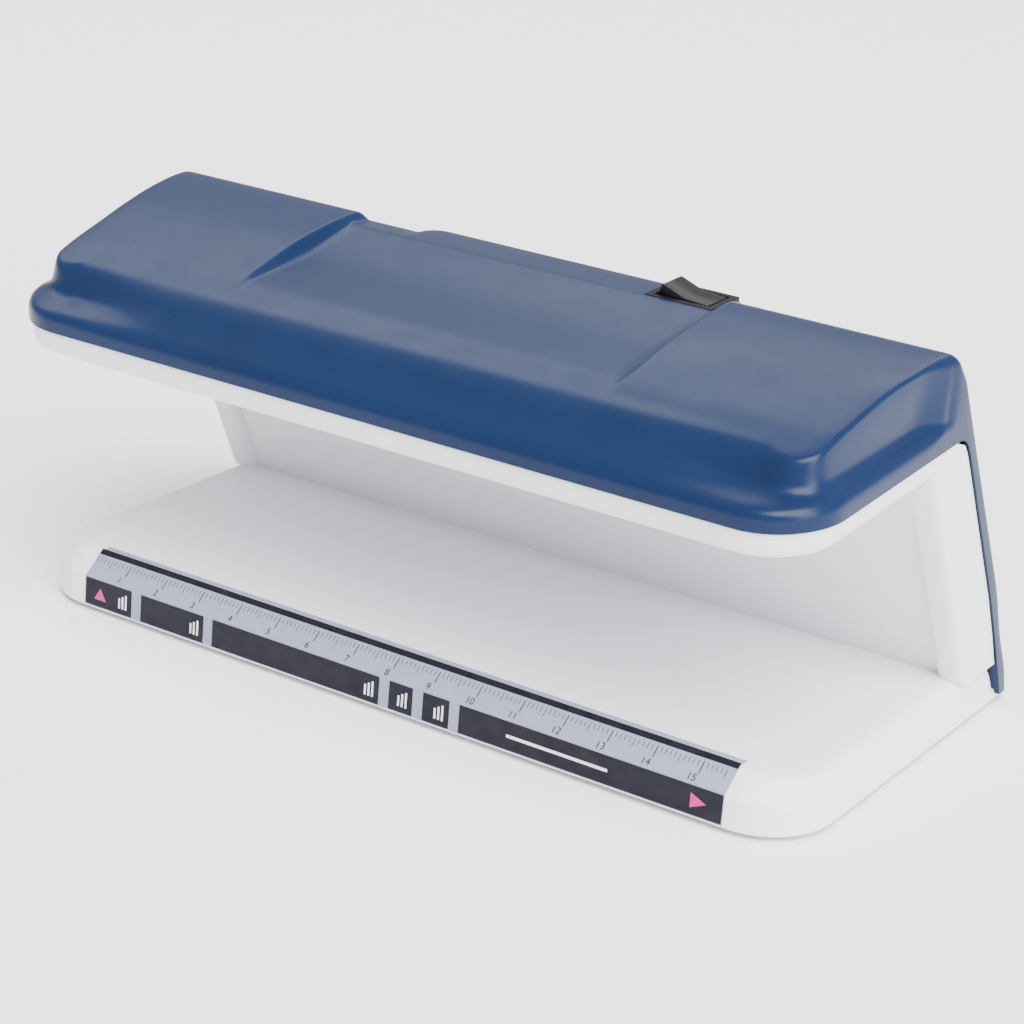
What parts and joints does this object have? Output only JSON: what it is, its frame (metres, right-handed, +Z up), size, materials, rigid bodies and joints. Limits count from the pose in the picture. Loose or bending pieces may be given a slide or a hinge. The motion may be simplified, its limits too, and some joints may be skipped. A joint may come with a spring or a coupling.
{
  "type": "counterfeit bill detector",
  "caption": "Counter-top ultraviolet note checker: C-shaped hood and column over a sloping note tray, tube lamp inside, rocker switch on top, centimetre scale along the front.",
  "frame": {"origin": "centre of the bounding box in X and Y, on the plane the feet stand on", "axes": "+X across the unit to the right as the user faces it, +Y away from the user, +Z up"},
  "size_m": [0.1876, 0.0907, 0.0835],
  "materials": {
    "white_housing": "satin white moulded plastic",
    "blue_cover": "semi-gloss dark blue moulded plastic",
    "base_plate": "fine matt texture",
    "screws": "zinc plated",
    "feet": "matt",
    "label": "printed film",
    "reflector": "bright rolled sheet",
    "lamp_holder": "moulded",
    "lamp_glass": "coated ultraviolet tube",
    "lamp_cap": "drawn",
    "contacts": "plain",
    "circuit_board": "solder mask",
    "transformer": "ferrite and tape",
    "capacitors": "sleeved",
    "transistors": "moulded",
    "black_parts": "moulded",
    "rocker": "moulded",
    "lamp_wires": "insulation",
    "switch_wires": "insulation",
    "supply_wires": "insulation"
  },
  "bodies": {
    "housing": {"base_tray": "white_housing", "base_plate": "base_plate", "base_screws": "screws", "column_screws": "screws", "feet": "feet", "scale_label": "label", "inner_liner": "white_housing", "liner_screws": "screws", "top_cover": "blue_cover", "reflector": "reflector", "lamp_holder_left": "lamp_holder", "lamp_holder_right": "lamp_holder", "holder_screws": "screws", "circuit_board": "circuit_board", "transformer": "transformer", "capacitors": "capacitors", "transistors": "transistors", "board_screws": "screws", "power_jack": "black_parts", "jack_pin": "contacts", "switch_body": "black_parts", "switch_terminals": "contacts", "lamp_leads": "lamp_wires", "switch_leads": "switch_wires", "supply_leads": "supply_wires"},
    "rocker": {"rocker": "rocker"},
    "lamp": {"lamp_tube": "lamp_glass", "lamp_cap_left": "lamp_cap", "lamp_cap_right": "lamp_cap", "lamp_pins": "contacts"}
  },
  "joints": [
    {"name": "rocker_tilt", "type": "hinge", "parent": "housing", "child": "rocker", "pos_m": [0.0354, 0.0111, 0.0798], "axis": [0, -1, 0], "range_deg": [0, 24]},
    {"name": "lamp_twist", "type": "hinge", "parent": "housing", "child": "lamp", "pos_m": [0, -0.0122, 0.0664], "axis": [1, 0, 0], "range_deg": [0, 90]}
  ]
}
